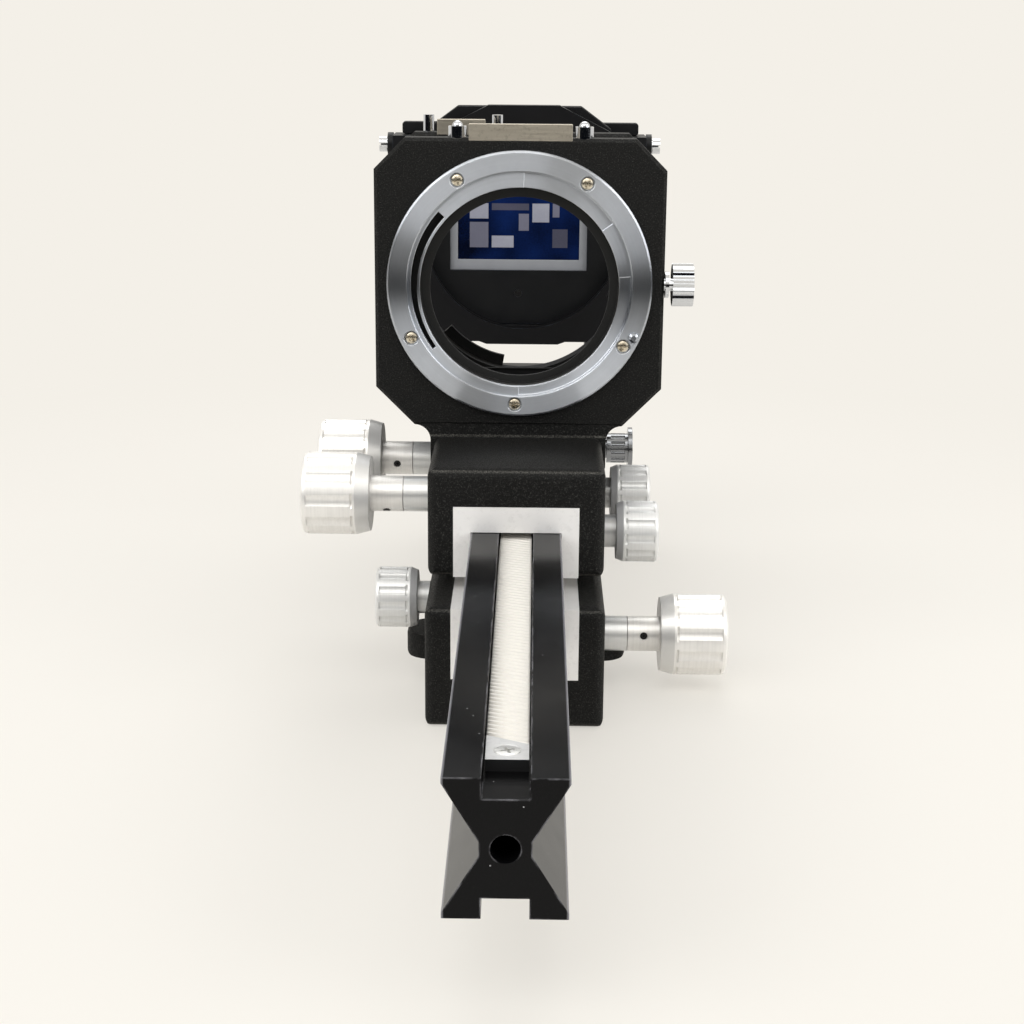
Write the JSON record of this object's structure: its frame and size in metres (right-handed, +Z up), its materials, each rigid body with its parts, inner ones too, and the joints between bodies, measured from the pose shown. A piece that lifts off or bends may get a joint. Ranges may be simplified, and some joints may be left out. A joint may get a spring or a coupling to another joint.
{
  "type": "bellows slide duplicator",
  "caption": "Copying stand: a rack-and-pinion bellows with a bayonet ring and a slide-holding head, sliding on a double dovetail rail over a tripod block.",
  "frame": {"origin": "mouth of the tripod thread, in the flat underside that the stand rests on", "axes": "+Y along the rail from its bare end towards the slide holder, +X to the right seen from the bare end, +Z up from the base"},
  "size_m": [0.1006, 0.3, 0.1324],
  "materials": {
    "crinkle_paint": "black crinkle enamel",
    "smooth_black_paint": "smooth black enamel",
    "black_anodised": "satin black anodised",
    "machined_alloy": "fine machined",
    "knob_alloy": "satin turned",
    "sleeve_alloy": "turned, grey",
    "rack_steel": "bright cut teeth",
    "plain_steel": "machined",
    "dark_steel": "blackened",
    "chrome_plate": "polished",
    "satin_chrome": "satin",
    "ring_screw_nickel": "nickel plated",
    "catch_nickel": "dull nickel",
    "gib_brass": "machined",
    "bellows_cloth": "coated cloth",
    "bellows_board": "matt",
    "black_plastic": "fine satin",
    "slide_grey": "matt",
    "film_base": "glossy film",
    "opal_sheet": "opal"
  },
  "bodies": {
    "tripod_base": {"tripod_block": "crinkle_paint", "tripod_liner": "machined_alloy", "tripod_gib": "gib_brass", "tripod_bush": "plain_steel", "drive_sleeve": "sleeve_alloy"},
    "tripod_drive": {"drive_shaft": "plain_steel", "drive_pinion": "gib_brass", "drive_knob": "knob_alloy", "drive_set_screw": "dark_steel"},
    "tripod_lock": {"tripod_lock_knob": "knob_alloy"},
    "rail": {"rail": "black_anodised", "top_rack": "rack_steel", "bottom_rack": "rack_steel", "rack_end_plates": "machined_alloy", "rack_screws": "plain_steel"},
    "front": {"front_standard": "crinkle_paint", "front_liner": "machined_alloy", "front_gib": "gib_brass", "front_sleeve": "sleeve_alloy", "mount_ring": "satin_chrome", "ring_screws": "ring_screw_nickel", "lens_lock_pin": "chrome_plate", "throat_baffle": "smooth_black_paint", "front_catch": "catch_nickel", "front_plungers": "chrome_plate", "front_bellows_frame": "bellows_board", "front_bellows": "bellows_cloth"},
    "front_drive": {"front_shaft": "plain_steel", "front_pinion": "gib_brass", "front_knob": "knob_alloy", "front_set_screw": "dark_steel"},
    "front_lock": {"front_lock_knob": "knob_alloy"},
    "ring_lock": {"ring_lock_screw": "chrome_plate"},
    "rear": {"rear_standard": "crinkle_paint", "rear_liner": "machined_alloy", "rear_gib": "gib_brass", "rear_sleeve": "sleeve_alloy", "rear_ring": "smooth_black_paint", "rear_ring_screws": "dark_steel", "rear_catch": "catch_nickel", "rear_pins": "chrome_plate", "rear_bellows_frame": "bellows_board", "rear_bellows": "bellows_cloth"},
    "rear_drive": {"rear_shaft": "plain_steel", "rear_pinion": "gib_brass", "rear_knob": "knob_alloy", "rear_set_screw": "dark_steel"},
    "rear_lock": {"rear_lock_knob": "knob_alloy"},
    "copier": {"copier_frame": "smooth_black_paint", "stage_keeper": "smooth_black_paint"},
    "copier_clamp": {"copier_clamp_screw": "chrome_plate"},
    "stage": {"slide_stage": "black_plastic", "stage_screw": "plain_steel", "slide_guide": "black_plastic", "guide_bar": "black_plastic", "door_screws": "satin_chrome"},
    "slide": {"slide_mount": "slide_grey", "film": "film_base"},
    "door": {"diffuser_frame": "black_plastic", "diffuser": "opal_sheet"}
  },
  "joints": [
    {"name": "rail_slide", "type": "slide", "parent": "tripod_base", "child": "rail", "axis": [0, 1, 0], "range_m": [-0.05, 0.1]},
    {"name": "tripod_drive_turn", "type": "hinge", "parent": "tripod_base", "child": "tripod_drive", "pos_m": [0, -0.0159, 0.01289], "axis": [1, 0, 0], "range_deg": [-831.9, 416.4]},
    {"name": "tripod_lock_turn", "type": "hinge", "parent": "tripod_base", "child": "tripod_lock", "pos_m": [0, -0.0159, 0.0215], "axis": [-1, 0, 0], "range_deg": [-180, 0]},
    {"name": "front_slide", "type": "slide", "parent": "rail", "child": "front", "axis": [0, 1, 0], "range_m": [-0.12, 0], "deforming": ["front_bellows"]},
    {"name": "front_drive_turn", "type": "hinge", "parent": "front", "child": "front_drive", "pos_m": [0, -0.0159, 0.04711], "axis": [1, 0, 0], "range_deg": [0, 998]},
    {"name": "front_lock_turn", "type": "hinge", "parent": "front", "child": "front_lock", "pos_m": [0, -0.0159, 0.0385], "axis": [1, 0, 0], "range_deg": [-180, 0]},
    {"name": "ring_lock_turn", "type": "hinge", "parent": "front", "child": "ring_lock", "pos_m": [0, 0.00275, 0.0944], "axis": [1, 0, 0], "range_deg": [-180, 0]},
    {"name": "rear_slide", "type": "slide", "parent": "rail", "child": "rear", "axis": [0, 1, 0], "range_m": [0, 0.036], "deforming": ["rear_bellows"]},
    {"name": "rear_drive_turn", "type": "hinge", "parent": "rear", "child": "rear_drive", "pos_m": [0, 0.0194, 0.04711], "axis": [1, 0, 0], "range_deg": [-300.1, 0]},
    {"name": "rear_lock_turn", "type": "hinge", "parent": "rear", "child": "rear_lock", "pos_m": [0, 0.0194, 0.0385], "axis": [1, 0, 0], "range_deg": [-180, 0]},
    {"name": "copier_slide", "type": "slide", "parent": "rail", "child": "copier", "axis": [0, 1, 0], "range_m": [-0.024, 0]},
    {"name": "copier_clamp_turn", "type": "hinge", "parent": "copier", "child": "copier_clamp", "pos_m": [0, 0.114, 0.0276], "axis": [1, 0, 0], "range_deg": [-180, 0]},
    {"name": "stage_shift", "type": "slide", "parent": "copier", "child": "stage", "axis": [1, 0, 0], "range_m": [-0.005, 0.005]},
    {"name": "slide_lift", "type": "slide", "parent": "stage", "child": "slide", "axis": [0, 0, 1], "range_m": [0, 0.03]},
    {"name": "door_swing", "type": "hinge", "parent": "stage", "child": "door", "pos_m": [0, 0.119, 0.1182], "axis": [1, 0, 0], "range_deg": [0, 60]}
  ],
  "couplings": [
    {"joint": "tripod_drive_turn", "follows": "rail_slide", "rad_per_m": -145.01},
    {"joint": "front_drive_turn", "follows": "front_slide", "rad_per_m": -145.01},
    {"joint": "rear_drive_turn", "follows": "rear_slide", "rad_per_m": -145.01}
  ]
}
